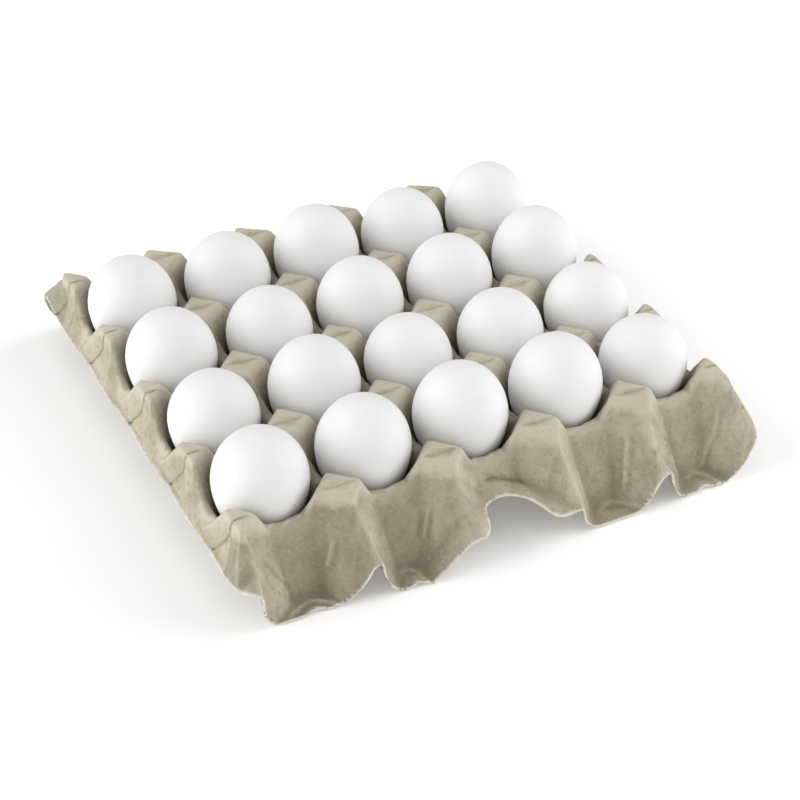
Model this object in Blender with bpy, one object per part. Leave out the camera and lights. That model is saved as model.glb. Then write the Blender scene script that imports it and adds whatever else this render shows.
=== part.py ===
"""A moulded pulp tray for twenty eggs, with its eggs standing in it.

Axes: X runs along the five-egg rows, Y across the four rows, Z up.  The tray
stands on Z = 0 with its centre at X = Y = 0.  Sizes below are in millimetres
and are turned into metres when the meshes are made.
"""
import math

import bpy
import numpy as np
from mathutils import Matrix, Vector
from mathutils.bvhtree import BVHTree
from mathutils.geometry import delaunay_2d_cdt

MM = 0.001

# The grid of cells
PITCH = 48.0            # egg to egg, both ways
COLUMNS = 5
ROWS = 4
SHEET = 1.8             # thickness of the pulp

# Heights above the table
POST_TOP = 46.0         # flat tops of the posts
CREST = 36.0            # walls between neighbouring cells, beside a post
CREST_MID = 35.0        # the same walls half way between two posts
SIDE_CREST = 32.0       # wall along the two short sides
SIDE_RIM = 19.0         # trimmed edge of the two short sides

# Posts
POST_HALF = 10.5        # centre to corner of a post's square top
POST_FOOT = 15.5        # centre to where a post's slope meets the crest

# Pockets
FOOT_RADIUS = 10.0      # flat eight-sided foot
MID_HEIGHT = 18.0
MID_REACH = 15.5        # wall distance from the middle at MID_HEIGHT
MID_SIDE = 6.3
MOUTH_REACH = 21.8      # wall distance from the middle at the crest
MOUTH_SIDE = 8.5

# Long skirts, measured outwards from the line of end posts
SKIRT = 28.5            # outer edge
TOE = 17.0              # where the wall of the half pocket meets its toe
TOE_SIDE = 21.5         # where the toe's corners turn outwards
CREST_OUT = 2.2         # end crests lie this far outside the line of end posts
TUCK = 0.26             # share by which the near left lobe is pressed in

# Short sides
SIDE_X = 124.3          # trimmed edge
SIDE_TOP = 119.5        # end posts are cut off here
SIDE_BACK = 7.8         # how far the slanting edges of an end post's top run
SEAM_SHIFT = 1.5        # seam on top of an end post, off the line of posts

# Eggs: half width, widest point, height above it, depth below it
EGGS = {
    "s": (20.3, 38.9, 23.2, 28.5),
    "m": (20.85, 40.9, 23.8, 31.0),
    "l": (21.1, 42.5, 24.7, 32.5),
}
EGG_GRADES = ("mmlls", "smsss", "msmml", "mmlml")
EGG_SIDES = 16
EGG_RINGS = 7
EGG_LEAN = 2.0          # degrees
EGG_PIVOT = 27.0        # height about which an egg leans
EGG_TAPER = 0.07        # how much slimmer its lower end is than an oval

PULP = (0.42, 0.38, 0.29)
SHELL = (0.86, 0.86, 0.84)


def post_x(i):
    return (i - COLUMNS / 2) * PITCH


def post_y(j):
    return (j - ROWS / 2) * PITCH


def cell_centre(i, j):
    return ((i + 0.5 - COLUMNS / 2) * PITCH, (j + 0.5 - ROWS / 2) * PITCH)


def clear_scene():
    for thing in list(bpy.data.objects):
        bpy.data.objects.remove(thing, do_unlink=True)


def material(name, colour, roughness):
    mat = bpy.data.materials.new(name)
    mat.use_nodes = True
    shader = mat.node_tree.nodes["Principled BSDF"]
    shader.inputs["Base Color"].default_value = (*colour, 1.0)
    shader.inputs["Roughness"].default_value = roughness
    shader.inputs["Metallic"].default_value = 0.0
    return mat


class Net:
    """Fold lines of the sheet: plan points with heights, joined by lines."""

    def __init__(self):
        self.points = []
        self.index = {}
        self.lines = set()

    def point(self, p):
        key = (round(p[0], 2), round(p[1], 2))
        if key not in self.index:
            self.index[key] = len(self.points)
            self.points.append((p[0], p[1], p[2]))
        return self.index[key]

    def line(self, pts, turn=1, closed=False):
        ids = [self.point((turn * x, turn * y, z)) for x, y, z in pts]
        if closed:
            ids.append(ids[0])
        for a, b in zip(ids, ids[1:]):
            if a != b:
                self.lines.add((min(a, b), max(a, b)))


def tuck(x, s):
    """The near skirt is pressed in towards its left end."""
    t = min(max((-20.0 - x) / 80.0, 0.0), 1.0)
    return s * (1.0 - TUCK * t * t * (3.0 - 2.0 * t))


def skirt_point(x, s, z, near):
    """Point of a long skirt, s outwards from the end posts."""
    if near:
        s = tuck(x, s)
    return (x, -post_y(ROWS) - s, z)


def crest_x(net, i, y):
    """Wall top along X between posts i and i + 1."""
    left, right = post_x(i), post_x(i + 1)
    mid = cell_centre(i, 0)[0]
    start = (left, y, POST_TOP) if i else (-SIDE_TOP, y - SEAM_SHIFT, POST_TOP)
    end = (right, y, POST_TOP)
    if i == COLUMNS - 1:
        end = (SIDE_TOP, y + SEAM_SHIFT, POST_TOP)
    net.line([start, (left + POST_HALF, y, POST_TOP),
              (left + POST_FOOT, y, CREST), (mid, y, CREST_MID),
              (right - POST_FOOT, y, CREST),
              (right - POST_HALF, y, POST_TOP), end])


def crest_y(net, x, j):
    """Wall top along Y between posts j and j + 1."""
    low, high = post_y(j), post_y(j + 1)
    mid = (low + high) / 2
    net.line([(x, low, POST_TOP), (x, low + POST_HALF, POST_TOP),
              (x, low + POST_FOOT, CREST), (x, mid, CREST_MID),
              (x, high - POST_FOOT, CREST),
              (x, high - POST_HALF, POST_TOP), (x, high, POST_TOP)])


def pocket(net, i, j):
    """Eight-sided cup of one cell, from its foot to its mouth."""
    cx, cy = cell_centre(i, j)
    foot = []
    mid = []
    mouth = []
    reach_in = FOOT_RADIUS * math.cos(math.pi / 8)
    side_in = FOOT_RADIUS * math.sin(math.pi / 8)
    quarter = [(1, -1), (1, 1)]
    for k in range(4):
        c, s = round(math.cos(k * math.pi / 2)), round(math.sin(k * math.pi / 2))
        corner = []
        for out, side in quarter:
            for ring, a, b, z in ((foot, reach_in, side_in, SHEET),
                                  (mid, MID_REACH, MID_SIDE, MID_HEIGHT)):
                px, py = out * a, side * b
                ring.append((cx + c * px - s * py, cy + s * px + c * py, z))
            px, py = MOUTH_REACH, side * MOUTH_SIDE
            x, y = cx + c * px - s * py, cy + s * px + c * py
            z = CREST
            if (i == 0 and k == 2) or (i == COLUMNS - 1 and k == 0):
                z = SIDE_CREST + 1.0
            corner.append((x, y, z))
        drop = CREST_MID
        if (i == 0 and k == 2) or (i == COLUMNS - 1 and k == 0):
            drop = SIDE_CREST - 0.5
        middle = (cx + c * MOUTH_REACH, cy + s * MOUTH_REACH, drop)
        net.line([corner[0], middle, corner[1]])
        mouth += corner
    net.line(foot, closed=True)
    net.line(mid, closed=True)
    for a, b, c in zip(foot, mid, mouth):
        net.line([a, b, c])
    # from each mouth corner up to the post beside it
    for k, (x, y, z) in enumerate(mouth):
        px = post_x(i if x < cx else i + 1)
        py = post_y(j if y < cy else j + 1)
        along_x = k in (2, 3, 6, 7)
        if along_x:
            top = (px + (POST_HALF if px < cx else -POST_HALF), py, POST_TOP)
            foot_of_post = (px + (POST_FOOT if px < cx else -POST_FOOT), py, CREST)
            net.line([(x, y, z), top])
            net.line([(x, y, z), foot_of_post])
        elif 0 < (i if x < cx else i + 1) < COLUMNS:
            way = 1 if py < cy else -1
            net.line([(x, y, z), (px, py + way * POST_HALF, POST_TOP)])
            net.line([(x, y, z), (px, py + way * POST_FOOT, CREST)])


def end_corner(y, way):
    """Where the slanting edge of a left end post's top meets its cut face."""
    return (post_x(0) + POST_HALF - SIDE_BACK, y + way * SIDE_BACK, POST_TOP)


def post_top(net, i, j):
    """Slanting edges of a square post top set corner to corner."""
    x, y = post_x(i), post_y(j)
    right = (x + POST_HALF, y, POST_TOP)
    left = (x - POST_HALF, y, POST_TOP)
    for way in (-1, 1):
        if (way < 0 and j == 0) or (way > 0 and j == ROWS):
            continue
        tip = (x, y + way * POST_HALF, POST_TOP)
        if i == 0:
            net.line([end_corner(y, way), right])
        elif i == COLUMNS:
            net.line([end_corner(-y, -way), (-x + POST_HALF, -y, POST_TOP)], -1)
        else:
            net.line([left, tip, right])


# Ridge that runs out from a post's top across the skirt: distance outwards and
# height of its points, and how far each of them lies to the right of its post.
RIDGE = ((9.5, POST_TOP), (11.5, 37.0), (14.5, 30.5), (18.5, 25.5), (23.0, 22.0),
         (SKIRT, 19.6))
RIDGE_DRIFT = {1: (3.5, 4.6, 6.4, 7.8, 8.7, 9.6), 2: (1.5, 2.6, 3.1, 3.6, 4.8, 7.0),
               3: (4.5, 6.0, 7.3, 8.1, 8.4, 8.6), 4: (3.5, 3.4, 3.5, 4.0, 5.2, 7.4)}
ARCH_DROP = {2: (0.0, 0.0, 0.0, 0.0, 0.5, 1.0), 3: (0.0, 0.0, 0.0, 0.0, 1.2, 4.8)}
# The two ends of a skirt have ridges of their own: sideways, outwards, height.
RIDGE_FIRST = ((4.5, 6.5, POST_TOP), (5.0, 10.0, 39.0), (5.3, 14.5, 32.0),
               (5.2, 19.0, 26.5), (4.8, 23.5, 22.5), (4.5, SKIRT, 19.5))
RIDGE_NEAR_END = ((-1.0, 8.0, POST_TOP), (-0.3, 12.0, 42.5), (0.7, 17.0, 38.5),
                  (1.6, 21.5, 35.0), (2.6, 25.0, 31.5), (4.3, SKIRT, 25.0))
RIDGE_FAR_END = ((-1.5, 8.0, POST_TOP), (-1.6, 11.0, 41.0), (-0.8, 16.5, 35.8),
                 (0.4, 21.5, 31.0), (2.1, 25.4, 27.0), (4.3, SKIRT, 22.8))

# Finger arch in the middle of each skirt: offset from the middle of the cell,
# distance outwards, height.  The pulp bends out to a narrow flange round it.
ARCH_EDGE = ((-15.4, SKIRT, 17.0), (-11.5, 24.5, 18.0), (-10.2, 20.0, 20.0),
             (-9.6, 16.0, 21.3), (-7.0, 13.6, 21.8), (-2.0, 12.5, 22.4),
             (3.0, 13.0, 22.5), (8.0, 14.8, 21.8), (12.5, 18.2, 20.2),
             (15.8, 22.2, 18.2), (17.5, 25.8, 16.8), (20.0, SKIRT, 15.6),
             (25.5, SKIRT, 14.3), (29.6, 27.4, 13.8))
ARCH_FOLD = ((-14.6, 23.0, 20.6), (-13.6, 15.5, 24.5), (-9.5, 8.8, 27.0),
             (-2.2, 5.8, 28.2), (3.4, 6.3, 27.0), (10.8, 7.8, 23.8),
             (16.0, 12.0, 21.0), (20.6, 16.0, 19.4), (24.6, 20.0, 18.4),
             (27.6, 24.0, 17.4))


# Trimmed edge of each lobe but the arched one, from the middle of its cell:
# where the small kink in the toe is (or None), where the toe ends and the
# edge's rise from there.
LOBES = {
    0: (4.5, 16.0, ((20.5, 4.2), (24.3, 8.0), (26.8, 12.5), (28.2, 17.0))),
    1: (1.5, 9.0, ((14.0, 6.5), (19.0, 11.8), (24.5, 17.0))),
    3: (None, 15.0, ((19.0, 4.5), (21.8, 8.5), (23.6, 13.0), (26.3, 17.5))),
    4: (3.0, 16.0, ((20.6, 5.0), (24.6, 10.0), (27.4, 17.0))),
}
KINK = 1.3              # how far the kink is pressed in and up
KINK_LEFT = 3.5         # its reach to either side
KINK_RIGHT = 4.5
# Folds of a half pocket, from its left or right post: sideways, outwards, height.
BACK_LEFT = ((18.0, 9.5, 19.0),)
VALLEY = ((-13.5, 7.5, 25.0), (-13.5, 12.5, 12.5))
SHOULDER = ((-7.0, 9.0, 34.0), (-9.0, 15.0, 20.5), (-10.5, 19.0, 9.0))
# Corners of its toe: left ones from the middle of the cell, right ones as
# shares of the way to the toe's end.
TOE_LEFT = -3.0
SIDE_LEFT = -5.5
TOE_RIGHT = 0.65
SIDE_RIGHT = 0.8
# Start of the trimmed edge, from the ridge on its left: sideways, height.
LOBE_START = ((0.8, 14.0), (1.9, 9.5), (3.8, 5.5), (6.2, 3.0), (8.5, SHEET))
FIRST_START = 0.6       # the first lobe's edge turns down this much quicker


def ridge(i, near):
    if i == 0:
        return RIDGE_FIRST
    if i == COLUMNS:
        return RIDGE_NEAR_END if near else RIDGE_FAR_END
    drop = ARCH_DROP.get(i, (0.0,) * len(RIDGE))
    return [(drift, s, z - lower)
            for drift, (s, z), lower in zip(RIDGE_DRIFT[i], RIDGE, drop)]


def skirt(net, turn):
    """One long skirt: five half pockets with ridges between them."""
    near = turn == 1

    def at(x, s, z):
        return skirt_point(x, s, z, near)

    edge = []
    for i in range(COLUMNS + 1):
        px = post_x(i)
        spine = [at(px + d, s, z) for d, s, z in ridge(i, near)]
        net.line(spine, turn)
        if i > 0:
            net.line([spine[0], (px - POST_HALF, post_y(0), POST_TOP)], turn)
        if i < COLUMNS:
            net.line([spine[0], (px + POST_HALF, post_y(0), POST_TOP)], turn)
    for i in range(COLUMNS):
        left, right = post_x(i), post_x(i + 1)
        mid = cell_centre(i, 0)[0]
        out = post_y(0) - CREST_OUT
        a = (left + POST_FOOT, out, CREST)
        b = (mid, out, CREST_MID)
        c = (right - POST_FOOT, out, CREST)
        net.line([a, b, c], turn)
        for corner, px, way in ((a, left, 1), (c, right, -1)):
            net.line([corner, (px + way * POST_HALF, post_y(0), POST_TOP)], turn)
            net.line([corner, (px + way * POST_FOOT, post_y(0), CREST)], turn)
        start = ridge(i, near)[-1]
        if i == COLUMNS // 2:
            rim = [at(mid + x, s, z) for x, s, z in ARCH_EDGE]
            fold = [at(mid + x, s, z) for x, s, z in ARCH_FOLD]
            edge += [at(left + start[0], SKIRT, start[2])] + rim
            net.line(fold, turn)
            net.line([a, fold[2], rim[3]], turn)
            net.line([b, fold[3], rim[5]], turn)
            net.line([c, fold[5], rim[8]], turn)
            x, s, z = SHOULDER[0]
            net.line([(right - POST_HALF, post_y(0), POST_TOP),
                      at(right + x, s, z), fold[7], rim[9]], turn)
            continue
        # trimmed edge: down from the ridge to the toe, then up to the next
        kink, end, rise = LOBES[i]
        quick = 1.0 if i else FIRST_START
        edge.append(at(left + start[0], SKIRT, start[2]))
        edge += [at(left + start[0] + across * quick, SKIRT, z)
                 for across, z in LOBE_START]
        foot, low_a = edge[-2:]
        if kink is not None:
            edge += [at(mid + kink - KINK_LEFT, SKIRT, SHEET),
                     at(mid + kink, SKIRT - KINK, SHEET + KINK),
                     at(mid + kink + KINK_RIGHT, SKIRT, SHEET)]
        low_b = at(mid + end, SKIRT, SHEET)
        edge.append(low_b)
        edge += [at(mid + across, SKIRT, z) for across, z in rise]
        # flat toe of the half pocket
        toe_a = at(mid + TOE_LEFT, TOE, SHEET)
        toe_b = at(mid + TOE_RIGHT * end, TOE, SHEET)
        side_a = at(mid + SIDE_LEFT, TOE_SIDE, SHEET)
        side_b = at(mid + SIDE_RIGHT * end, TOE_SIDE, SHEET)
        net.line([low_a, side_a, toe_a, toe_b, side_b, low_b], turn)
        net.line([foot, side_a], turn)
        # left edge of the back wall, then the valley at its right edge
        net.line([a] + [at(left + x, s, z) for x, s, z in BACK_LEFT] + [toe_a], turn)
        net.line([c] + [at(right + x, s, z) for x, s, z in VALLEY] + [toe_b], turn)
        # shoulder of the next post, just past the valley
        shoulder = [at(right + x, s, z) for x, s, z in SHOULDER]
        net.line([(right - POST_HALF, post_y(0), POST_TOP)] + shoulder + [side_b],
                 turn)
    across, s, z = ridge(COLUMNS, near)[-1]
    edge.append(at(post_x(COLUMNS) + across, s, z))
    net.line(edge, turn)
    return [(turn * x, turn * y, z) for x, y, z in edge]


# Folds down the cut face of an end post, from its top to their lower ends:
# offset along Y from the post, outwards from SIDE_TOP, height.
NEAR_FOLD = ((-7.0, -0.7, POST_TOP), (-9.5, 1.0, 38.0), (-6.0, 3.3, 24.0))
SEAM = ((-SEAM_SHIFT, 0.0, POST_TOP), (0.5, 0.7, 36.0), (11.0, 3.5, 23.0))
FAR_FOLD = ((6.0, 0.0, POST_TOP - 0.8), (11.5, 1.0, 39.0), (24.0, 3.3, 24.0))
# Rim between two end posts: offset from the first one, above SIDE_RIM.
RIM = ((-6.0, 0.0), (11.0, 1.5), (24.0, 1.0), (34.0, -0.5))
LAST_RIM = (19.0, 3.5)
# Rim points that carry the sides round into the skirts, near left, far right.
NEAR_CORNER = ((-SIDE_X + 0.6, -109.5, 19.5), (-SIDE_X + 3.4, -114.8, 21.0))
FAR_CORNER = ((SIDE_X - 0.3, 113.5, 19.5), (SIDE_X - 2.5, 121.5, 21.0))


def short_side(net, turn):
    """Left side (turned half round for the right): cut posts and plain rim."""
    rim = []
    inner_x = cell_centre(0, 0)[0] - MOUTH_REACH
    for j in range(ROWS + 1):
        y = post_y(j)
        first, last = j == 0, j == ROWS
        low, high = end_corner(y, -1), end_corner(y, 1)
        near_fold, seam, far_fold = [[(-SIDE_TOP - out, y + dy, z) for dy, out, z in fold]
                                     for fold in (NEAR_FOLD, SEAM, FAR_FOLD)]
        if first:
            drift, s, z = RIDGE_FIRST[0]
            spine = skirt_point(post_x(0) + drift, s, z, turn == 1)
            net.line([spine, low], turn)
        if last:
            drift, s, z = ridge(COLUMNS, turn == -1)[0]
            high = (post_x(0) - drift, y + s, z)
        net.line([low, near_fold[0], seam[0], far_fold[0], high], turn)
        net.line(near_fold + [seam[-1]], turn)
        net.line(seam, turn)
        edge = [(-SIDE_X, y + dy, SIDE_RIM + above) for dy, above in RIM]
        net.line([near_fold[-1], edge[0]], turn)
        net.line([seam[-1], edge[1]], turn)
        if not first:
            # recessed flank towards the cell before
            inner = (inner_x, y - POST_FOOT, SIDE_CREST + 1.0)
            net.line([low, inner, near_fold[-1]], turn)
        if last:
            dy, above = LAST_RIM
            rim += edge[:2] + [(-SIDE_X, y + dy, SIDE_RIM + above)]
            continue
        inner = (inner_x, y + POST_FOOT, SIDE_CREST + 1.0)
        net.line([high, inner, far_fold[-1]], turn)
        net.line(far_fold + [seam[-1]], turn)
        net.line([far_fold[-1], edge[2]], turn)
        rim += edge
    return [(turn * x, turn * y, z) for x, y, z in rim]


def build_net():
    net = Net()
    for j in range(ROWS + 1):
        for i in range(COLUMNS):
            crest_x(net, i, post_y(j))
    for i in range(1, COLUMNS):
        for j in range(ROWS):
            crest_y(net, post_x(i), j)
    for i in range(COLUMNS):
        for j in range(ROWS):
            pocket(net, i, j)
    for i in range(COLUMNS + 1):
        for j in range(ROWS + 1):
            post_top(net, i, j)
    near = skirt(net, 1)
    far = skirt(net, -1)
    left = short_side(net, 1)
    right = short_side(net, -1)
    # outline: near skirt (left to right), right side, far skirt, left side
    outline = (near + right[::-1] + list(FAR_CORNER)
               + far + left[::-1] + list(NEAR_CORNER))
    net.line(outline, closed=True)
    return net, outline


def inside(x, y, outline):
    found = False
    for a, b in zip(outline, outline[1:] + outline[:1]):
        if (a[1] > y) != (b[1] > y):
            if x < a[0] + (y - a[1]) * (b[0] - a[0]) / (b[1] - a[1]):
                found = not found
    return found


def triangulate(net, outline):
    plan = [Vector((p[0], p[1])) for p in net.points]
    verts, _, faces, origin, _, _ = delaunay_2d_cdt(
        plan, sorted(net.lines), [], 1, 1e-4, True)
    pts = []
    for v, source in zip(verts, origin):
        if not source:
            raise ValueError("two fold lines cross at %.2f, %.2f" % (v.x, v.y))
        pts.append((v.x, v.y, net.points[source[0]][2]))
    tris = []
    for f in faces:
        a, b, c = (pts[k] for k in f[:3])
        if not inside((a[0] + b[0] + c[0]) / 3, (a[1] + b[1] + c[1]) / 3, outline):
            continue
        turn = (b[0] - a[0]) * (c[1] - a[1]) - (b[1] - a[1]) * (c[0] - a[0])
        tris.append(tuple(f) if turn > 0 else tuple(reversed(f)))
    return np.array(pts), tris


# How far a corner of the lower skin may lie from the one above it.
MOST_ASIDE = 1.3
LEAST_BELOW = 0.25
MOST_BELOW = 3.2 * SHEET
THINNING = 0.82         # share of its thickness a tight fold keeps each time


def underside(pts, tris):
    """Second skin one sheet thickness below the first, fold by fold."""
    normals = [[] for _ in pts]
    for f in tris:
        a, b, c = pts[list(f)]
        n = np.cross(b - a, c - a)
        size = np.linalg.norm(n)
        if size < 1e-9:
            continue
        n = n / size
        for k in f:
            if all(np.dot(n, m) < 0.999 for m in normals[k]):
                normals[k].append(n)
    under = pts.copy()
    for k, ns in enumerate(normals):
        m = np.array(ns)
        d = np.linalg.pinv(m, rcond=0.15) @ np.full(len(ns), -SHEET)
        flat = math.hypot(d[0], d[1])
        if flat > MOST_ASIDE:
            d[:2] *= MOST_ASIDE / flat
        d[2] = max(min(d[2], -LEAST_BELOW), -MOST_BELOW)
        under[k] = pts[k] + d
    under[:, 2] = np.maximum(under[:, 2], 0.0)
    under[pts[:, 2] < SHEET + 0.01, 2] = 0.0
    edge = post_y(ROWS) + SKIRT
    under[:, 0] = np.clip(under[:, 0], -SIDE_X, SIDE_X)
    under[:, 1] = np.clip(under[:, 1], -edge, edge)
    return under


def ease_folds(pts, under, faces):
    """Thin the sheet inside tight folds until its two skins stay apart."""
    count = len(pts)
    for _ in range(14):
        tree = BVHTree.FromPolygons(np.vstack([pts, under]).tolist(), faces)
        tight = set()
        for a, b in tree.overlap(tree):
            if a < b and not set(faces[a]) & set(faces[b]):
                tight.update(faces[a])
                tight.update(faces[b])
        if not tight:
            break
        for k in sorted(tight):
            if k >= count:
                top = pts[k - count]
                under[k - count] = top + THINNING * (under[k - count] - top)


def mesh_object(name, verts, faces, mat):
    mesh = bpy.data.meshes.new(name)
    mesh.from_pydata([tuple(c * MM for c in v) for v in verts], [], faces)
    mesh.materials.append(mat)
    obj = bpy.data.objects.new(name, mesh)
    bpy.context.scene.collection.objects.link(obj)
    return obj


def tray(mat):
    net, outline = build_net()
    pts, tris = triangulate(net, outline)
    under = underside(pts, tris)
    count = len(pts)
    uses = {}
    for f in tris:
        for a, b in zip(f, f[1:] + f[:1]):
            uses[(a, b)] = True
    faces = list(tris)
    faces += [tuple(count + k for k in reversed(f)) for f in tris]
    for a, b in uses:
        if (b, a) not in uses:
            faces.append((b, a, count + a))
            faces.append((b, count + a, count + b))
    ease_folds(pts, under, faces)
    return mesh_object("tray", np.vstack([pts, under]), faces, mat)


def egg_radius(half, depth, t):
    """Half width of an egg at t, from 1 at the blunt top to -1 at the tip."""
    taper = 1.0 if t > 0 else 1.0 + EGG_TAPER * t
    return half * math.sqrt(max(0.0, 1.0 - t * t)) * taper


def egg(i, j, mat):
    """Blunt end up, leaning a little, clear of the pocket all round."""
    half, wide, above, below = EGGS[EGG_GRADES[j][i]]
    verts = [(0.0, 0.0, wide + above)]
    for ring in range(1, EGG_RINGS + 1):
        t = math.cos(math.pi * ring / (EGG_RINGS + 1))
        z = wide + (above if t > 0 else below) * t
        r = egg_radius(half, below, t)
        for k in range(EGG_SIDES):
            a = 2 * math.pi * k / EGG_SIDES
            verts.append((r * math.cos(a), r * math.sin(a), z))
    verts.append((0.0, 0.0, wide - below))
    faces = []
    last = len(verts) - 1
    for k in range(EGG_SIDES):
        n = (k + 1) % EGG_SIDES
        faces.append((0, 1 + k, 1 + n))
        base = 1 + (EGG_RINGS - 1) * EGG_SIDES
        faces.append((last, base + n, base + k))
        for ring in range(EGG_RINGS - 1):
            a = 1 + ring * EGG_SIDES
            b = a + EGG_SIDES
            faces.append((a + k, b + k, b + n, a + n))
    verts = [(x, y, z - EGG_PIVOT) for x, y, z in verts]
    obj = mesh_object("egg_%d_%d" % (j + 1, i + 1), verts, faces, mat)
    obj.data.shade_smooth()
    cx, cy = cell_centre(i, j)
    way = math.radians(137.5 * (i + COLUMNS * j))
    axis = Vector((math.cos(way), math.sin(way), 0.0))
    lean = EGG_LEAN * (0.5 + 0.5 * ((i * 3 + j * 2) % 4) / 3)
    turn = Matrix.Rotation(math.radians(lean), 4, axis)
    obj.matrix_world = Matrix.Translation((cx * MM, cy * MM, EGG_PIVOT * MM)) @ turn
    return obj


def main():
    clear_scene()
    tray(material("pulp", PULP, 0.95))
    shell = material("shell", SHELL, 0.45)
    for j in range(ROWS):
        for i in range(COLUMNS):
            egg(i, j, shell)


main()
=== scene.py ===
import math

import bpy
import numpy as np
from mathutils import Matrix, Vector, noise
from mathutils.bvhtree import BVHTree
from mathutils.kdtree import KDTree


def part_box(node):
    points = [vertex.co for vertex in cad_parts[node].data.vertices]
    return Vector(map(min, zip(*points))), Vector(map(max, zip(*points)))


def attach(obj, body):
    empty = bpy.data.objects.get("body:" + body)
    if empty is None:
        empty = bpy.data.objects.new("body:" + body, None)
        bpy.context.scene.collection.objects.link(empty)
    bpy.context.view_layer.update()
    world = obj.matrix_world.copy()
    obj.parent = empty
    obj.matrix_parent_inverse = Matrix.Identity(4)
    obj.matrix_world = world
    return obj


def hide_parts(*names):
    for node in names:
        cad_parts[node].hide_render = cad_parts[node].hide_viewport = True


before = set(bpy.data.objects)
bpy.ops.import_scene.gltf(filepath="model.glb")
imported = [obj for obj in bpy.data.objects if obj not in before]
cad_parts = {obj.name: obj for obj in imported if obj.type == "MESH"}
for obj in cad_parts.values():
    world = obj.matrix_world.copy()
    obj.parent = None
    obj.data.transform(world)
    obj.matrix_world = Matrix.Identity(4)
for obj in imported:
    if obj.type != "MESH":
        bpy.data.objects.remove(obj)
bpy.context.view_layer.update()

# ---------------------------------------------------------------------------
# The tray: one sheet of grey paper pulp, sucked onto a wire mould and dried.
# Its folds come out a little rounded, its faces lumpy and creased, and its
# trimmed edge is thin and a little torn, with paler fibres and a painted
# highlight along it.  It carries everything else.
# ---------------------------------------------------------------------------
MM = 0.001
PITCH = 48.0            # cell to cell
MIDDLE = 2              # the third column, and the third post of each side
PULP_THICK = 1.55
RIM_THICK = 0.8         # at the trimmed edge, reached over RIM_TAPER
RIM_TAPER = 4.0
FACE_SHOWN = 2.5        # size of the mesh's triangles where the tray shows
FACE_HIDDEN = 8.5       # down in the cells, under the eggs
FACE_CREASE = 0.78      # within CREASE_NEAR of a crease or the trimmed edge
CREASE_NEAR = 1.0
HIDDEN_X = 117.0        # eggs hide the cells inside HIDDEN_X and HIDDEN_Y, below HIDDEN_TOP
HIDDEN_Y = 95.0
HIDDEN_TOP = 31.0
SKIN_GAP = 2.2          # more than the CAD sheet is thick
OPPOSITE = -0.9         # cosine between two faces that look away from each other
UPRIGHT = 0.1           # a face that rises or falls less than this is an edge
WELD_DIGITS = 2         # corners of the CAD mesh in one place are one point
JUST_INSIDE = 0.02
SPLIT_ROUNDS = 7
SPLIT_OVER = 1.35       # an edge this much too long is split
EASE_PUSH = 0.5
SEED_STEP = (13.7, 7.1, 3.3)    # how far one seed's noise lies from the next
TINY = 1e-9


def upper_skin(node):
    """The CAD sheet's upper face: points in millimetres and triangles."""
    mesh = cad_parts[node].data
    mesh.calc_loop_triangles()
    place = np.array([p.co for p in mesh.vertices]) / MM
    keys, same = np.unique(np.round(place, WELD_DIGITS), axis=0, return_inverse=True)
    same = same.ravel()
    tris = np.array([[same[k] for k in t.vertices] for t in mesh.loop_triangles])
    slope = np.array([t.normal for t in mesh.loop_triangles])
    sound = (tris != np.roll(tris, 1, axis=1)).all(axis=1)
    tris, slope = tris[sound], slope[sound]
    # a face with another one close behind it is skin and not trimmed edge
    tree = BVHTree.FromPolygons(keys.tolist(), tris.tolist())
    skin = np.zeros(len(tris), bool)
    for k, (tri, n) in enumerate(zip(tris, slope)):
        start = keys[tri].mean(axis=0) - n * JUST_INSIDE
        _, _, hit, gap = tree.ray_cast(start, -n)
        if hit is not None and gap < SKIN_GAP:
            skin[k] = np.dot(slope[hit], n) < OPPOSITE
    above = np.zeros(len(keys), bool)
    above[tris[skin & (slope[:, 2] > UPRIGHT)]] = True
    below = np.zeros(len(keys), bool)
    below[tris[skin & (slope[:, 2] < -UPRIGHT)]] = True
    below &= ~above
    tris = tris[(slope[:, 2] > 0.0) & ~below[tris].any(axis=1)]
    # the largest group of joined triangles is the sheet
    group = np.arange(len(keys))
    while True:
        least = group[tris].min(axis=1)
        before = group.copy()
        for k in range(3):
            np.minimum.at(group, tris[:, k], least)
        if (group == before).all():
            break
    main = np.bincount(group[tris[:, 0]]).argmax()
    tris = tris[group[tris[:, 0]] == main]
    used, tris = np.unique(tris, return_inverse=True)
    return keys[used], tris.reshape(-1, 3)


def sides(tris):
    """Each edge once, which edge each triangle side is, and use counts."""
    pairs = np.concatenate([tris[:, [0, 1]], tris[:, [1, 2]], tris[:, [2, 0]]])
    edges, which, count = np.unique(np.sort(pairs, axis=1), axis=0,
                                    return_inverse=True, return_counts=True)
    return edges, which.ravel().reshape(3, -1).T, count


def refine(pts, tris, wanted):
    """Splits edges longer than wanted(middle points), a few times over."""
    for _ in range(SPLIT_ROUNDS):
        edges, which, _ = sides(tris)
        a, b = pts[edges[:, 0]], pts[edges[:, 1]]
        mid = (a + b) / 2
        long = np.linalg.norm(a - b, axis=1) > wanted(mid) * SPLIT_OVER
        if not long.any():
            break
        new = np.full(len(edges), -1)
        new[long] = len(pts) + np.arange(long.sum())
        pts = np.vstack([pts, mid[long]])
        split = new[which]
        whole = (split < 0).all(axis=1)
        made = []
        for (i, j, k), (p, q, r) in zip(tris[~whole].tolist(), split[~whole].tolist()):
            if p >= 0 and q >= 0 and r >= 0:
                made += [(i, p, r), (p, j, q), (r, q, k), (p, q, r)]
                continue
            while p < 0 or r >= 0:
                i, j, k, p, q, r = j, k, i, q, r, p
            if q < 0:
                made += [(i, p, k), (p, j, k)]
            else:
                made += [(p, j, q), (i, p, q), (i, q, k)]
        tris = np.concatenate([tris[whole], np.array(made)])
    return pts, tris


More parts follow.
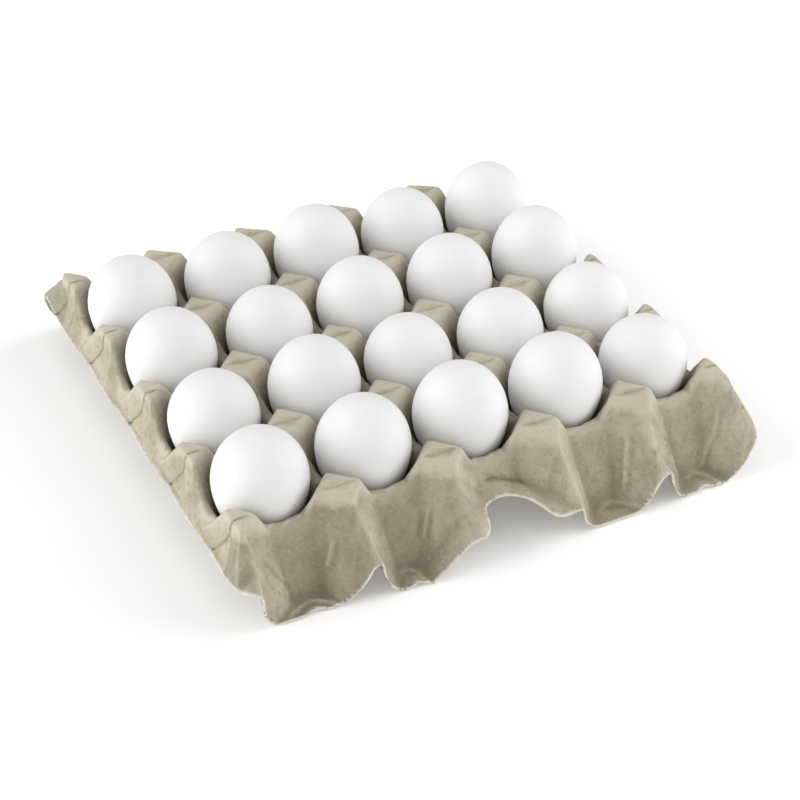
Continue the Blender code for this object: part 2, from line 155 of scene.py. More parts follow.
def ease(pts, tris, rounds):
    """Rounds the folds; the trimmed edge only slides along itself."""
    edges, _, count = sides(tris)
    rim = np.zeros(len(pts), bool)
    rim[edges[count == 1]] = True
    inner = edges[~(rim[edges[:, 0]] & rim[edges[:, 1]]) | (count == 1)]
    start = np.concatenate([inner[:, 0], inner[:, 1]])
    end = np.concatenate([inner[:, 1], inner[:, 0]])
    keep = ~rim[start] | rim[end]
    start, end = start[keep], end[keep]
    degree = np.maximum(np.bincount(start, minlength=len(pts)), 1)[:, None]
    for _ in range(rounds):
        total = np.zeros_like(pts)
        for axis in range(3):
            total[:, axis] = np.bincount(start, pts[end, axis], len(pts))
        pts = pts + EASE_PUSH * (total / degree - pts)
    return pts


def outward(pts, tris):
    """Unit normal at each point."""
    a, b, c = (pts[tris[:, k]] for k in range(3))
    face = np.cross(b - a, c - a)
    total = np.zeros_like(pts)
    for k in range(3):
        for axis in range(3):
            total[:, axis] += np.bincount(tris[:, k], face[:, axis], len(pts))
    return total / np.maximum(np.linalg.norm(total, axis=1), TINY)[:, None]


def lumps(pts, size, seed):
    """Smooth random swell and dip, about -1 to 1, lumps of this size."""
    shift = Vector([seed * step for step in SEED_STEP])
    return np.array([noise.noise(Vector(p) / size + shift) for p in pts])


def face_size(mid):
    """Size wanted for the mesh at these points."""
    within = (np.abs(mid[:, 0]) < HIDDEN_X) & (np.abs(mid[:, 1]) < HIDDEN_Y)
    return np.where(within & (mid[:, 2] < HIDDEN_TOP), FACE_HIDDEN, FACE_SHOWN)


sheet, tris = upper_skin("tray")
sheet, tris = refine(sheet, tris, face_size)
sheet = ease(sheet, tris, 1)

# Creases: where the sheet was folded or pinched on the mould.  Each has a route
# and a make: depth (below zero where it stands proud), half width and darkness,
# which is painted shade in the crease (below zero a painted highlight, where it
# is paler).
STEP = 0.5
CORNER_CUTS = 2
CORNER_SHARE = 0.25
WANDER = 0.35
WANDER_SIZE = 5.0
WANDER_SEED = 20
FADE = 4.0              # a crease dies out over this length at its ends
DEPTH_MEAN = 0.8
DEPTH_SWING = 0.5
DEPTH_SIZE = 3.0
DEPTH_SEED = 25
surface = BVHTree.FromPolygons(sheet.tolist(), tris.tolist())
creases = []


def crease(route, make, open_end=False):
    """Rounds a route's corners, lays it on the sheet and keeps it."""
    depth, width, dark = make
    pts = np.array(route, float)
    for _ in range(CORNER_CUTS):
        near_start = (1.0 - CORNER_SHARE) * pts[:-1] + CORNER_SHARE * pts[1:]
        near_end = CORNER_SHARE * pts[:-1] + (1.0 - CORNER_SHARE) * pts[1:]
        cut = np.stack([near_start, near_end], axis=1).reshape(-1, 3)
        pts = np.vstack([pts[:1], cut[1:-1], pts[-1:]])
    legs = np.linalg.norm(np.diff(pts, axis=0), axis=1)
    run = np.concatenate([[0.0], np.cumsum(legs)])
    along = np.arange(0.0, run[-1] + STEP, STEP)
    line = np.stack([np.interp(along, run, pts[:, k]) for k in range(3)], axis=1)
    aside = [lumps(line, WANDER_SIZE, WANDER_SEED + k) for k in range(3)]
    line += WANDER * np.stack(aside, axis=1)
    line = np.array([surface.find_nearest(p)[0][:] for p in line])
    fade = np.clip((along + STEP) / FADE, 0.0, 1.0)
    if not open_end:
        fade = fade * np.clip((run[-1] - along + STEP) / FADE, 0.0, 1.0)
    uneven = DEPTH_MEAN + DEPTH_SWING * lumps(line, DEPTH_SIZE, DEPTH_SEED)
    creases.append((line, depth * fade * uneven, width, dark * fade))


# Seam of each cut end post: over its top, down its face and out at the rim.
SEAM = ((12.5, -1.5, 46.0), (5.0, -1.5, 46.0), (4.2, -0.8, 40.0), (3.2, 1.2, 34.0),
        (2.0, 5.8, 28.0), (1.2, 10.0, 22.5), (0.3, 13.5, 19.3))
NECK = ((3.0, -8.5, 33.0), (1.8, -6.5, 27.0), (1.2, -5.0, 22.5))
LIP = ((1.4, -4.0, 22.0), (1.3, 4.0, 21.8), (1.5, 10.0, 22.6), (1.3, 16.5, 21.5),
       (1.8, 24.0, 23.0), (1.4, 32.0, 21.0))
SEAM_MAKE = (0.6, 0.5, 0.7)
SEAM_FOOT_MAKE = (1.2, 0.8, 1.0)
NECK_MAKE = (0.3, 0.6, 0.15)
LIP_MAKE = (0.25, 0.7, 0.2)
SIDE_X = 124.3
END_POSTS = 5
SWAY = 1.3              # the seams are not quite in line with their posts
SWAY_STEP = 2.3


def on_side(turn, y, route, sway):
    """Places a route given inwards from the left edge and along it."""
    return [(turn * (x - SIDE_X), turn * (y + dy + sway), z) for x, dy, z in route]


for turn in (1, -1):
    for j in range(END_POSTS):
        y = (j - MIDDLE) * PITCH
        sway = SWAY * math.sin(SWAY_STEP * j + turn)
        crease(on_side(turn, y, SEAM, sway), SEAM_MAKE, open_end=True)
        crease(on_side(turn, y, SEAM[-2:], sway), SEAM_FOOT_MAKE, open_end=True)
        crease(on_side(turn, y, NECK, sway), NECK_MAKE)
        if j < END_POSTS - 1:
            crease(on_side(turn, y, LIP, sway), LIP_MAKE)

# Faint seam across the top of every post between the columns of eggs.
TOP_SEAM = ((-9.0, 0.8, 46.0), (0.0, -0.6, 46.0), (9.0, 0.5, 46.0))
TOP_SEAM_MAKE = (0.3, 0.6, 0.25)
for i in range(END_POSTS - 1):
    for j in range(END_POSTS):
        x, y = (i - MIDDLE) * PITCH + PITCH / 2, (j - MIDDLE) * PITCH
        crease([(x + dx, y + dy, z) for dx, dy, z in TOP_SEAM], TOP_SEAM_MAKE)

# Half pockets of the two long skirts: points are across from the middle of the
# cell, outwards from the end posts and height.  Each pocket has a dish pressed
# in its foot, with a raised edge, and a rib down its face with a dip each side.
# They are listed by column; the middle one has the finger arch instead.
POSTS_Y = 96.0
TUCK = 0.26             # share that the front skirt draws in at its left end
TUCK_FROM = -20.0
TUCK_OVER = 80.0
DISH = {0: ((-8.1, 25.5, 1.8), (-0.7, 20.7, 1.8), (6.4, 20.0, 1.8), (11.7, 24.6, 1.8),
            (13.5, 27.8, 1.8)),
        1: ((-3.7, 18.5, 1.8), (0.3, 16.9, 1.8), (4.0, 19.0, 1.8), (5.0, 25.2, 1.8),
            (5.5, 27.9, 1.8)),
        3: ((1.0, 18.5, 1.8), (7.4, 16.7, 1.8), (11.9, 19.2, 1.8), (14.7, 22.8, 1.8),
            (16.8, 26.4, 2.5)),
        4: ((-2.0, 19.2, 1.8), (4.2, 16.4, 1.8), (7.9, 19.3, 1.8), (9.9, 24.3, 1.8),
            (10.9, 28.0, 1.8))}
RIB = {0: ((17.1, 12.3, 29.0), (15.0, 14.0, 21.0), (12.6, 15.5, 13.4)),
       1: ((14.2, 9.2, 28.8), (12.5, 11.2, 20.0), (10.5, 13.0, 12.3)),
       3: ((17.3, 10.1, 32.0), (15.0, 14.0, 20.0), (12.6, 18.3, 7.7)),
       4: ((18.1, 11.4, 32.5), (15.3, 14.7, 21.5), (11.5, 14.5, 11.1), (9.7, 16.4, 3.1))}
PINCH = ((21.5, 12.0, 31.0), (23.0, 17.0, 23.0), (24.0, 21.0, 17.5))
# Darkness below zero paints a highlight on the dish's raised edge and on the rib.
DISH_EDGE_MAKE = (-0.85, 1.0, -0.75)
DISH_MAKE = (0.5, 1.5, 0.30)
RIB_MAKE = (-0.8, 1.0, -0.65)
RIB_RIGHT_MAKE = (0.5, 1.2, 0.25)
RIB_LEFT_MAKE = (0.4, 1.3, 0.18)
PINCH_MAKE = (0.25, 0.9, 0.1)
DISH_NARROWER = 0.8
DISH_SHIFT = (1.0, 2.4, 0.0)
RIB_RIGHT_SHIFT = (2.9, 0.0, -1.5)
RIB_LEFT_SHIFT = (-3.0, 0.4, -2.0)
# Wrinkles: middle of their cell, make and route.
WRINKLES = (
    (-2 * PITCH, (0.45, 0.9, 0.3), ((-15.5, 10.4, 26.0), (-11.5, 11.4, 21.0),
                                    (-7.0, 13.1, 15.0), (-2.3, 15.1, 9.0))),
    (-2 * PITCH, (0.35, 0.8, 0.2), ((-16.0, 16.8, 22.0), (-11.2, 19.0, 12.0))),
    (0.0, (0.7, 0.8, 0.7), ((-6.4, 5.7, 28.0), (-1.4, 4.9, 28.0), (2.7, 6.6, 27.0),
                            (7.4, 7.4, 25.0), (12.2, 7.7, 23.0), (15.8, 9.6, 21.0))),
    (-PITCH, (0.5, 0.7, 0.4), ((-12.3, 3.1, 35.0), (-9.6, 3.3, 33.0), (-8.4, 4.7, 31.0))))
# Nicks in the notches between the lobes: across from the tray's middle, and out.
NICKS = ((-21.8, 19.0), (-21.7, 22.2), (74.8, 18.2), (-70.0, 20.5))
NICK = ((-0.5, 0.0, 24.0), (0.5, 0.4, 24.0))
NICK_MAKE = (0.8, 1.0, 0.3)


def on_skirt(turn, middle, route):
    """Places a route given in a half pocket's own measures."""
    placed = []
    for across, out, z in route:
        x = middle + across
        t = min(max((TUCK_FROM - x) / TUCK_OVER, 0.0), 1.0)
        if turn == 1:
            out *= 1.0 - TUCK * t * t * (3.0 - 2.0 * t)
        placed.append((turn * x, -turn * (POSTS_Y + out), z))
    return placed


def beside(route, shift, narrower=1.0):
    """The same route again, moved across, out and up."""
    return [(across * narrower + shift[0], out + shift[1], z + shift[2])
            for across, out, z in route]


for turn in (1, -1):
    for i in DISH:
        middle = (i - MIDDLE) * PITCH
        crease(on_skirt(turn, middle, DISH[i]), DISH_EDGE_MAKE, open_end=True)
        dish = beside(DISH[i][:-1], DISH_SHIFT, DISH_NARROWER)
        crease(on_skirt(turn, middle, dish), DISH_MAKE)
        crease(on_skirt(turn, middle, RIB[i]), RIB_MAKE)
        right_dip = beside(RIB[i], RIB_RIGHT_SHIFT)
        crease(on_skirt(turn, middle, right_dip), RIB_RIGHT_MAKE)
        left_dip = beside(RIB[i], RIB_LEFT_SHIFT)
        crease(on_skirt(turn, middle, left_dip), RIB_LEFT_MAKE)
        crease(on_skirt(turn, middle, PINCH), PINCH_MAKE)
    for middle, make, route in WRINKLES:
        crease(on_skirt(turn, middle, route), make)
    for across, out in NICKS:
        nick = beside(NICK, (0.0, out, 0.0))
        crease(on_skirt(turn, across, nick), NICK_MAKE, open_end=True)

edges, _, count = sides(tris)
marks = [sheet[np.unique(edges[count == 1])]]
marks += [line[::2] for line, depth, width, dark in creases]
marks = np.vstack(marks)


def distance(pts, marks):
    """From each point to the nearest mark."""
    tree = KDTree(len(marks))
    for k, p in enumerate(marks):
        tree.insert(p, k)
    tree.balance()
    return np.array([tree.find(p)[2] for p in pts])


def size_by_creases(mid):
    """Small triangles beside a crease or the trimmed edge."""
    near = distance(mid, marks) < CREASE_NEAR
    return np.where(near, FACE_CREASE, face_size(mid))


# Waves of the sheet: height, size and seed.  The feet of the cells, which lie
# flat, keep FOOT_WAVES of them.
WAVES = ((0.36, 14.0, 1), (0.22, 6.5, 2), (0.07, 2.6, 3))
FOOT_TOP = 1.9
FOOT_FADE = 3.0
FOOT_WAVES = 0.25
CREASE_REACH = 3.0      # half widths over which a crease is worked out
sheet, tris = refine(sheet, tris, size_by_creases)
normal = outward(sheet, tris)
relief = np.zeros(len(sheet))
for height, size, seed in WAVES:
    relief += height * lumps(sheet, size, seed)
relief *= np.clip((sheet[:, 2] - FOOT_TOP) / FOOT_FADE, FOOT_WAVES, 1.0)
# Painted shade in each crease, and a painted highlight where it stands proud.
seam = np.zeros(len(sheet))
for line, depth, width, dark in creases:
    lowest = line.min(axis=0) - CREASE_REACH * width
    highest = line.max(axis=0) + CREASE_REACH * width
    near = np.nonzero(((sheet > lowest) & (sheet < highest)).all(axis=1))[0]
    gap = np.linalg.norm(sheet[near, None] - line[None], axis=2)
    closest = gap.argmin(axis=1)
    gap = gap[np.arange(len(near)), closest]
    press = np.exp(-(gap / width) ** 2)
    relief[near] -= depth[closest] * press
    seam[near] += dark[closest] * press
sheet = sheet + normal * relief[:, None]
seam = np.clip(seam, -1.0, 1.0)

# The lower skin lies one thickness below the upper one.
THIN_ROUNDS = 12
THIN_STEP = 0.7
LEAST_FACE = 0.15       # share of its size that a lower triangle has to keep


def thicken(pts, tris, thick):
    """Lower skin, thinned where a fold is too tight for it."""
    normal = outward(pts, tris)
    depth = thick.copy()
    a, b, c = (pts[tris[:, k]] for k in range(3))
    face = np.cross(b - a, c - a)
    least = LEAST_FACE * (face ** 2).sum(axis=1)
    for _ in range(THIN_ROUNDS):
        under = pts - normal * depth[:, None]
        a, b, c = (under[tris[:, k]] for k in range(3))
        turned = (np.cross(b - a, c - a) * face).sum(axis=1) < least
        if not turned.any():
            break
        depth[np.unique(tris[turned])] *= THIN_STEP
    under[:, 2] = np.maximum(under[:, 2], 0.0)
    return under


def rim_order(tris):
    """The trimmed edge as one closed run of points."""
    _, which, count = sides(tris)
    single = count[which] == 1
    follow = {}
    for k in range(3):
        for t in tris[single[:, k]]:
            follow[int(t[k])] = int(t[(k + 1) % 3])
    start = min(follow)
    run = [start]
    while follow[run[-1]] != start:
        run.append(follow[run[-1]])
    return run


# The trimmed edge: how far it bulges between the two skins, with its rag.
EDGE_OUT = 0.12
EDGE_RAG = ((0.08, 2.0, 4), (0.15, 6.0, 5))
EDGE_LOWEST = 0.2
rim = rim_order(tris)
from_rim = distance(sheet, sheet[rim])
share = np.clip(from_rim / RIM_TAPER, 0.0, 1.0)
under = thicken(sheet, tris, RIM_THICK + (PULP_THICK - RIM_THICK) * share)
count = len(sheet)
edge_top, edge_low = sheet[rim], under[rim]
along = np.roll(edge_top, -1, axis=0) - np.roll(edge_top, 1, axis=0)
away = np.cross(along, edge_top - edge_low)
away /= np.maximum(np.linalg.norm(away, axis=1), TINY)[:, None]
torn = np.full(len(rim), EDGE_OUT)
for height, size, seed in EDGE_RAG:
    torn += height * lumps(edge_top, size, seed)
edge_mid = (edge_top + edge_low) / 2 + away * torn[:, None]
edge_mid[:, 2] = np.maximum(edge_mid[:, 2], EDGE_LOWEST)
points = np.vstack([sheet, under, edge_mid])
faces = [tuple(t) for t in tris.tolist()]
faces += [(c + count, b + count, a + count) for a, b, c in tris.tolist()]
for k, here in enumerate(rim):
    n = (k + 1) % len(rim)
    there, m, mn = rim[n], 2 * count + k, 2 * count + n
    faces.append((there, here, m, mn))
    faces.append((mn, m, here + count, there + count))
tray_mesh = bpy.data.meshes.new("pulp_tray")
tray_mesh.from_pydata((points * MM).tolist(), [], faces)
tray_mesh.shade_smooth()
tray = bpy.data.objects.new("pulp_tray", tray_mesh)
bpy.context.scene.collection.objects.link(tray)

# What the pulp's colour follows: the trimmed edge, hollows and folds, creases,
# and painted shade.  The hollows and creases get painted shade and what stands
# proud a painted highlight; the painted shade also lies down in the cells, on the
# recessed flanks of the end posts, and a little on the long skirts.
PALE_WIDTH = 0.7
HOLLOW_ROUNDS = 16
HOLLOW_DEPTH = 1.2
HOLLOW_BELOW = -0.5     # the lower skin has the same folds turned over
CELL_TOP = 45.0         # shade starts below this height
CELL_DARK = 28.0        # and is full here
CELLS_X = 119.0
FLANKS_X = 108.0
FLANK_SHADE = 0.9
FLANK_GAIN = 1.4
FLANK_FROM = 0.35
SKIRT_TOP = 40.0
SKIRT_FROM = 1.0
SKIRT_SHADE = 0.36
SKIRT_SLOPE = 0.0024    # how much less of it there is each millimetre to the right
SKIRT_GAIN = 1.6        # and how soon it ends on flanks that face right
near_rim = np.exp(-(from_rim / PALE_WIDTH) ** 2)
near_rim = np.concatenate([near_rim, near_rim, np.ones(len(rim))])
# Painted shade in the hollows and a painted highlight on folds that stand proud, by how far
# the sheet dips below its smoothed self.
smooth = ease(sheet, tris, HOLLOW_ROUNDS)
hollow = ((smooth - sheet) * outward(sheet, tris)).sum(axis=1)
hollow = np.clip(hollow / HOLLOW_DEPTH, -1.0, 1.0)
hollow = np.concatenate([hollow, HOLLOW_BELOW * hollow, np.zeros(len(rim))])
seam = np.concatenate([seam, np.zeros(count), seam[rim]])
facing = np.vstack([normal, np.zeros((count + len(rim), 3))])
across, along, up = np.abs(points[:, 0]), np.abs(points[:, 1]), points[:, 2]
# Painted shade: deeper down in the cells, less to the right on the skirts and on skirt
# flanks that face right, and on the end posts' recessed flanks.
in_cells = (across < CELLS_X) & (along < POSTS_Y)
shade = np.where(in_cells, (CELL_TOP - up) / (CELL_TOP - CELL_DARK), 0.0)
on_skirts = (along > POSTS_Y + SKIRT_FROM) & (up < SKIRT_TOP)
lee = 1.0 - np.clip(SKIRT_GAIN * facing[:, 0], 0.0, 1.0)
shade += (SKIRT_SHADE - SKIRT_SLOPE * points[:, 0]) * on_skirts * lee
on_flanks = (across > FLANKS_X) & (along < POSTS_Y)
recessed = facing[:, 1] * np.sign(points[:, 0]) * FLANK_GAIN - FLANK_FROM
shade += FLANK_SHADE * np.clip(recessed, 0.0, 1.0) * on_flanks
shade = np.clip(shade, 0.0, 1.0)
layers = (("rim", near_rim), ("hollow", hollow), ("seam", seam), ("shade", shade))
for name, values in layers:
    layer = tray_mesh.attributes.new(name, "FLOAT", "POINT")
    layer.data.foreach_set("value", values.astype(np.float32))

PULP_PALE_TONE = (0.515, 0.472, 0.368)
PULP_DULL = (0.400, 0.368, 0.276)
PULP_MOTTLE = (0.330, 0.302, 0.222)
PULP_WARM = (0.530, 0.468, 0.366)
PULP_HOLLOW_SHADE = (0.270, 0.248, 0.170)
PULP_CELL_SHADE = (0.235, 0.215, 0.150)
PULP_PROUD_HIGHLIGHT = (0.600, 0.565, 0.455)
PULP_CREASE_SHADE = (0.130, 0.115, 0.070)
PULP_FIBRE = (0.640, 0.605, 0.500)
PULP_FLECK = (0.160, 0.140, 0.095)
PULP_EDGE_FIBRE_AND_HIGHLIGHT = (0.790, 0.765, 0.660)
PULP_ROUGH = 0.95
PULP_GLOSS = 0.2
# Coats laid over each other.  Cloudy ones: scale, detail and roughness of the
# noise, where it starts and is full, how strong, and colour.
PULP_CLOUDS = ((60.0, 3.0, 0.55, 0.36, 0.62, 1.00, PULP_PALE_TONE),
               (24.0, 2.0, 0.55, 0.48, 0.66, 0.90, PULP_WARM),
               (420.0, 3.0, 0.60, 0.52, 0.34, 0.55, PULP_MOTTLE),
               (170.0, 4.0, 0.65, 0.46, 0.34, 0.40, PULP_MOTTLE))
PULP_SPECKS = ((900.0, 2.0, 0.70, 0.58, 0.72, 0.40, PULP_FIBRE),
               (1100.0, 1.0, 0.40, 0.72, 0.78, 0.45, PULP_FLECK))
# Painted shade and painted highlights that follow the sheet: what they follow, start, full,
# strength, colour.
PULP_PAINTED_LIGHT = (("hollow", 0.04, 0.80, 0.65, PULP_HOLLOW_SHADE),
             ("hollow", -0.04, -0.60, 0.75, PULP_PROUD_HIGHLIGHT),
             ("shade", 0.0, 1.0, 0.80, PULP_CELL_SHADE),
             ("seam", 0.0, 1.0, 0.95, PULP_CREASE_SHADE),
             ("seam", 0.0, -1.0, 0.60, PULP_PROUD_HIGHLIGHT))
# The trimmed edge: paler torn fibres with a painted highlight along them.
PULP_TRIM = ("rim", 0.30, 0.90, 0.95, PULP_EDGE_FIBRE_AND_HIGHLIGHT)
# Fine relief, coarse to fine: scale, detail, roughness, strength, depth in metres.
PULP_RELIEF = ((130.0, 3.0, 0.60, 0.60, 0.0018),
               (380.0, 5.0, 0.65, 0.55, 0.0008),
               (1300.0, 3.0, 0.60, 0.35, 0.0002))


def tools(mat):
    """Short calls for building one material's nodes."""
    tree = mat.node_tree
    place = tree.nodes.new("ShaderNodeTexCoord").outputs["Object"]

    def node(kind, **settings):
        made = tree.nodes.new(kind)
        for key, value in settings.items():
            if key in made.inputs:
                made.inputs[key].default_value = value
            else:
                setattr(made, key, value)
        return made

    def join(a, b):
        tree.links.new(a, b)

    def grain(scale, detail, rough):
        """Noise in the object's own space."""
        made = node("ShaderNodeTexNoise", Scale=scale, Detail=detail, Roughness=rough)
        join(place, made.inputs["Vector"])
        return made.outputs["Fac"]

    def level(value, low, high, most=1.0):
        """A value sharpened between two levels."""
        made = node("ShaderNodeMapRange")
        made.inputs["From Min"].default_value = low
        made.inputs["From Max"].default_value = high
        made.inputs["To Max"].default_value = most
        join(value, made.inputs["Value"])
        return made.outputs[0]

    def blend(factor, first, second):
        """Colour mix; first is a socket or a colour, second a colour."""
        made = node("ShaderNodeMix", data_type="RGBA")
        low, high = [s for s in made.inputs if s.type == "RGBA"]
        if isinstance(first, tuple):
            low.default_value = (*first, 1.0)
        else:
            join(first, low)
        high.default_value = (*second, 1.0)
        join(factor, made.inputs[0])
        return [s for s in made.outputs if s.type == "RGBA"][0]

    def bump(height, strength, depth, under=None):
        """Relief too fine for the mesh; depth in metres."""
        made = node("ShaderNodeBump", Strength=strength, Distance=depth)
        join(height, made.inputs["Height"])
        if under:
            join(under, made.inputs["Normal"])
        return made.outputs["Normal"]

    return node, join, grain, level, blend, bump


pulp = bpy.data.materials.new("grey_pulp")
pulp.use_nodes = True
node, join, grain, level, blend, bump = tools(pulp)
shader = pulp.node_tree.nodes["Principled BSDF"]
shader.inputs["Roughness"].default_value = PULP_ROUGH
shader.inputs["Specular IOR Level"].default_value = PULP_GLOSS


def cloud(below, scale, detail, rough, low, high, most, tone):
    """Lays a coat that comes and goes with noise."""
    return blend(level(grain(scale, detail, rough), low, high, most), below, tone)


def layer_coat(below, follows, low, high, most, tone):
    """Lays a coat that follows one of the sheet's own layers."""
    layer = node("ShaderNodeAttribute", attribute_name=follows).outputs["Fac"]
    return blend(level(layer, low, high, most), below, tone)


colour = PULP_DULL
for coat in PULP_CLOUDS:
    colour = cloud(colour, *coat)
for coat in PULP_PAINTED_LIGHT:
    colour = layer_coat(colour, *coat)
for coat in PULP_SPECKS:
    colour = cloud(colour, *coat)
join(layer_coat(colour, *PULP_TRIM), shader.inputs["Base Color"])
fine = None
for scale, detail, rough, strength, depth in PULP_RELIEF:
    fine = bump(grain(scale, detail, rough), strength, depth, fine)
join(fine, shader.inputs["Normal"])
tray_mesh.materials.append(pulp)

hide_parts("tray")
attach(tray, "root")

# ---------------------------------------------------------------------------
# The eggs: white hen's eggs, stood blunt end up in their cells, each of them
# a little different in size and lean.  The shell is matt with fine pores.
# ---------------------------------------------------------------------------
EGG_AROUND = 56
EGG_UP = 36
EGG_TAPER = 0.07        # how much slimmer the lower end is than an oval
ROWS = 4
COLUMNS = 5
WIDEST = 0.565          # share of an egg's height that is below its widest
SHELL_WHITE = (0.865, 0.865, 0.868)
SHELL_CLOUD = (0.840, 0.841, 0.842)
SHELL_ROUGH = 0.50
SHELL_GLOSS = 0.30
GLOW_SHARE = 0.12       # light that goes a little way into the shell
GLOW_REACH = (0.004, 0.003, 0.0025)
CLOUDS = (75.0, 2.0, 0.55)      # scale, detail and roughness of the noise
CLOUDS_FROM = 0.35
CLOUDS_FULL = 0.70
PORES = (1500.0, 2.0, 0.5)
PORES_STRENGTH = 0.14
PORES_DEPTH = 0.00012

shell = bpy.data.materials.new("white_shell")
shell.use_nodes = True
node, join, grain, level, blend, bump = tools(shell)
shader = shell.node_tree.nodes["Principled BSDF"]
shader.inputs["Roughness"].default_value = SHELL_ROUGH
shader.inputs["Specular IOR Level"].default_value = SHELL_GLOSS
shader.inputs["Subsurface Weight"].default_value = GLOW_SHARE
shader.inputs["Subsurface Radius"].default_value = GLOW_REACH
shader.inputs["Subsurface Scale"].default_value = 1.0
clouded = level(grain(*CLOUDS), CLOUDS_FROM, CLOUDS_FULL)
join(blend(clouded, SHELL_WHITE, SHELL_CLOUD), shader.inputs["Base Color"])
join(bump(grain(*PORES), PORES_STRENGTH, PORES_DEPTH), shader.inputs["Normal"])


def egg_mesh(name, half, above, below):
    """Blunt end up; the origin is at the widest height."""
    pts = []
    for ring in range(1, EGG_UP):
        t = math.cos(math.pi * ring / EGG_UP)
        z = (above if t > 0 else below) * t
        taper = 1.0 if t > 0 else 1.0 + EGG_TAPER * t
        r = half * math.sqrt(1.0 - t * t) * taper
        for k in range(EGG_AROUND):
            a = 2.0 * math.pi * k / EGG_AROUND
            pts.append((r * math.cos(a), r * math.sin(a), z))
    top = len(pts)
    pts += [(0.0, 0.0, above), (0.0, 0.0, -below)]
    faces = []
    last = (EGG_UP - 2) * EGG_AROUND
    for k in range(EGG_AROUND):
        n = (k + 1) % EGG_AROUND
        faces += [(top, k, n), (top + 1, last + n, last + k)]
        for ring in range(EGG_UP - 2):
            a = ring * EGG_AROUND
            b = a + EGG_AROUND
            faces.append((a + k, b + k, b + n, a + n))
    mesh = bpy.data.meshes.new(name)
    mesh.from_pydata(pts, [], faces)
    mesh.shade_smooth()
    mesh.materials.append(shell)
    return mesh


for row in range(1, ROWS + 1):
    for column in range(1, COLUMNS + 1):
        cad = "egg_%d_%d" % (row, column)
        low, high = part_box(cad)
        corners = sorted((p.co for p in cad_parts[cad].data.vertices),
                         key=lambda p: p.z)
        tip, crown = corners[0], corners[-1]
        axis = crown - tip
        below = axis.length * WIDEST
        half = (high.x - low.x + high.y - low.y) / 4
        mesh = egg_mesh("white_" + cad, half, axis.length - below, below)
        egg = bpy.data.objects.new("white_" + cad, mesh)
        bpy.context.scene.collection.objects.link(egg)
        lean = axis.to_track_quat("Z", "Y").to_matrix().to_4x4()
        egg.matrix_world = Matrix.Translation(tip + axis * WIDEST) @ lean
        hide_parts(cad)
        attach(egg, "root")

# ---------------------------------------------------------------------------
# Studio: a white sweep, broad soft lights from the left, the right and the
# front, a softbox low on the right, and a lens long enough to keep the rows
# nearly parallel.
# ---------------------------------------------------------------------------
AIM = Vector((-0.0115778, -0.0378467, 0.030))
TURN = math.radians(-29.09)
RISE = math.radians(37.28)
ROLL = math.radians(1.77)
DISTANCE = 0.79927
LENS = 79.735
SENSOR = 36.0
NEAREST = 0.01
ROOM_LIGHT = 0.32
SWEEP_HALF = 4.0
SWEEP_WHITE = 0.97
SWEEP_ROUGH = 0.9
SWEEP_GLOW = 0.17       # the sweep is lit from below as well
# Broad lights: name, azimuth, elevation and spread in degrees, and strength.
SOFT_LIGHTS = (("light_right", -10.0, 30.0, 55.0, 1.25),
               ("light_left", 163.0, 24.0, 55.0, 2.15),
               ("light_front", 241.0, 52.0, 70.0, 0.60))
PANEL_PLACE = Vector((0.50, -0.30, 0.20))
PANEL_AIM = Vector((0.06, -0.10, 0.01))
PANEL_SIZE = 0.4
PANEL_POWER = 0.7

back = Vector((math.sin(TURN) * math.cos(RISE), -math.cos(TURN) * math.cos(RISE),
               math.sin(RISE)))
right = Vector((0, 0, 1)).cross(back).normalized()
up = back.cross(right)
across = right * math.cos(ROLL) + up * math.sin(ROLL)
upward = up * math.cos(ROLL) - right * math.sin(ROLL)
lens = bpy.data.cameras.new("camera")
lens.lens = LENS
lens.sensor_width = SENSOR
lens.clip_start = NEAREST
camera = bpy.data.objects.new("camera", lens)
bpy.context.scene.collection.objects.link(camera)
camera.matrix_world = Matrix.Translation(AIM + back * DISTANCE) @ Matrix(
    (across, upward, back)).transposed().to_4x4()
bpy.context.scene.camera = camera

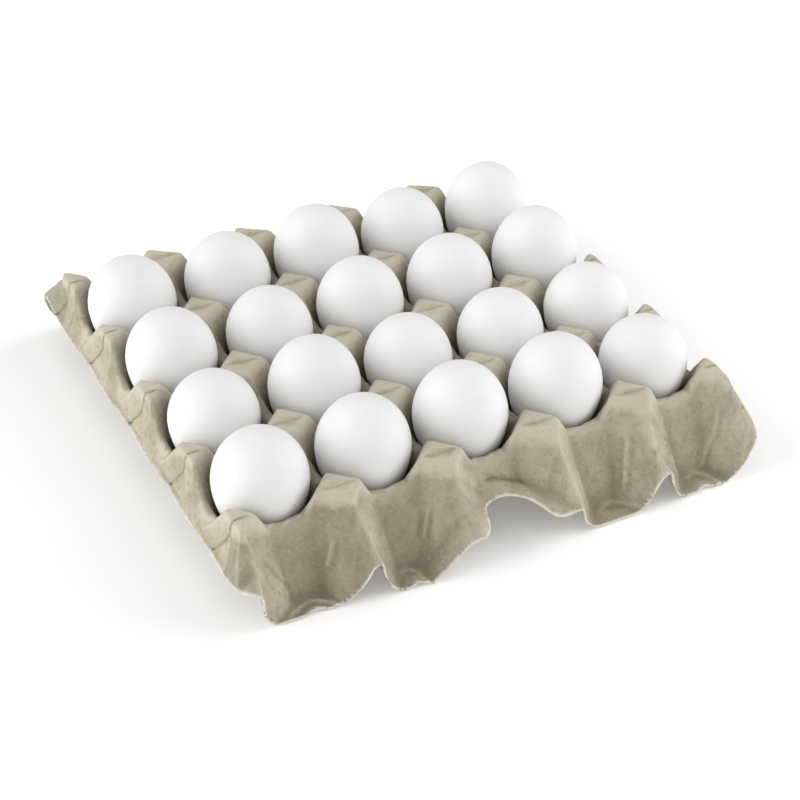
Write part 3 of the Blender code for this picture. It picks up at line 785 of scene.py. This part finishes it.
floor_mesh = bpy.data.meshes.new("floor")
floor_mesh.from_pydata([(x * SWEEP_HALF, y * SWEEP_HALF, 0.0)
                        for x, y in ((-1, -1), (1, -1), (1, 1), (-1, 1))],
                       [], [(0, 1, 2, 3)])
floor = bpy.data.objects.new("floor", floor_mesh)
bpy.context.scene.collection.objects.link(floor)
paper = bpy.data.materials.new("white_sweep")
paper.use_nodes = True
shader = paper.node_tree.nodes["Principled BSDF"]
shader.inputs["Base Color"].default_value = (SWEEP_WHITE, SWEEP_WHITE, SWEEP_WHITE, 1.0)
shader.inputs["Roughness"].default_value = SWEEP_ROUGH
shader.inputs["Emission Color"].default_value = (1.0, 1.0, 1.0, 1.0)
shader.inputs["Emission Strength"].default_value = SWEEP_GLOW
floor_mesh.materials.append(paper)

world = bpy.data.worlds.new("studio")
world.use_nodes = True
air = world.node_tree.nodes["Background"]
air.inputs["Color"].default_value = (1.0, 1.0, 1.0, 1.0)
air.inputs["Strength"].default_value = ROOM_LIGHT
bpy.context.scene.world = world


def soft_light(name, azimuth, elevation, softness, strength):
    """Light from far off; azimuth 0 is +X and 90 is +Y, all in degrees."""
    data = bpy.data.lights.new(name, "SUN")
    data.angle = math.radians(softness)
    data.energy = strength
    made = bpy.data.objects.new(name, data)
    bpy.context.scene.collection.objects.link(made)
    a, e = math.radians(azimuth), math.radians(elevation)
    source = Vector((math.cos(a) * math.cos(e), math.sin(a) * math.cos(e), math.sin(e)))
    made.rotation_euler = (-source).to_track_quat("-Z", "Y").to_euler()


for light in SOFT_LIGHTS:
    soft_light(*light)

# a softbox near the tray, so that its light falls off across it
softbox = bpy.data.lights.new("panel_right", "AREA")
softbox.size = PANEL_SIZE
softbox.energy = PANEL_POWER
panel = bpy.data.objects.new("panel_right", softbox)
bpy.context.scene.collection.objects.link(panel)
panel.location = PANEL_PLACE
panel.rotation_euler = (PANEL_AIM - PANEL_PLACE).to_track_quat("-Z", "Y").to_euler()
bpy.context.scene.view_settings.view_transform = "Standard"
